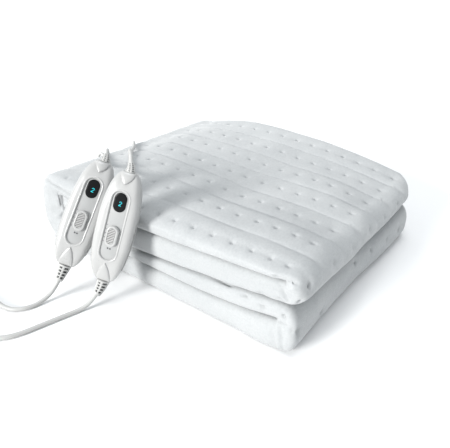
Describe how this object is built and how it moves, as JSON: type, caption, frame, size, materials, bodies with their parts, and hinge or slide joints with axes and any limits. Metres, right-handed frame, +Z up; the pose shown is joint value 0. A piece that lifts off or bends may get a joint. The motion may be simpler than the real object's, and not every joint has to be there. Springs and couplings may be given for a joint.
{
  "type": "heated mattress pad with two hand controllers",
  "caption": "Quilted fleece heated mattress pad, folded in a flat pile, with hand controllers that lean on its front edge and mains leads with plugs.",
  "frame": {"origin": "centre of the pad and its controllers, without the leads, at the height of the flat underside", "axes": "+Z up, +Y from the front edge, where the controllers lean, towards the back, +X along the front edge towards the end with the open folds"},
  "size_m": [0.5559, 0.6552, 0.1857],
  "materials": {
    "fleece": "soft white nap",
    "shell": "white gloss",
    "panel": "light grey satin",
    "display": "black window",
    "switch": "white gloss",
    "cord": "white, flexible",
    "plug": "white satin",
    "pin": "bright nickel"
  },
  "bodies": {
    "pad": {"left_back_shell": "shell", "left_display": "display", "left_front_shell": "shell", "left_lead": "cord", "left_lead_coil": "cord", "left_lead_end": "cord", "left_lower_boot": "cord", "left_mains": "cord", "left_mains_coil": "cord", "left_mains_end": "cord", "left_mains_plug": "plug", "left_mains_plug_boot": "cord", "left_mains_plug_pin_a": "pin", "left_mains_plug_pin_b": "pin", "left_panel": "panel", "left_upper_boot": "cord", "pad": "fleece", "right_back_shell": "shell", "right_display": "display", "right_front_shell": "shell", "right_lead": "cord", "right_lead_coil": "cord", "right_lead_end": "cord", "right_lower_boot": "cord", "right_mains": "cord", "right_mains_coil": "cord", "right_mains_end": "cord", "right_mains_plug": "plug", "right_mains_plug_boot": "cord", "right_mains_plug_pin_a": "pin", "right_mains_plug_pin_b": "pin", "right_panel": "panel", "right_upper_boot": "cord"},
    "left_switch": {"left_switch": "switch"},
    "right_switch": {"right_switch": "switch"}
  },
  "joints": [
    {"name": "left_switch_slide", "type": "slide", "parent": "pad", "child": "left_switch", "axis": [0.0837, 0.5283, 0.8449], "range_m": [0, 0.006]},
    {"name": "right_switch_slide", "type": "slide", "parent": "pad", "child": "right_switch", "axis": [0.1069, 0.3467, 0.9319], "range_m": [0, 0.006]}
  ]
}
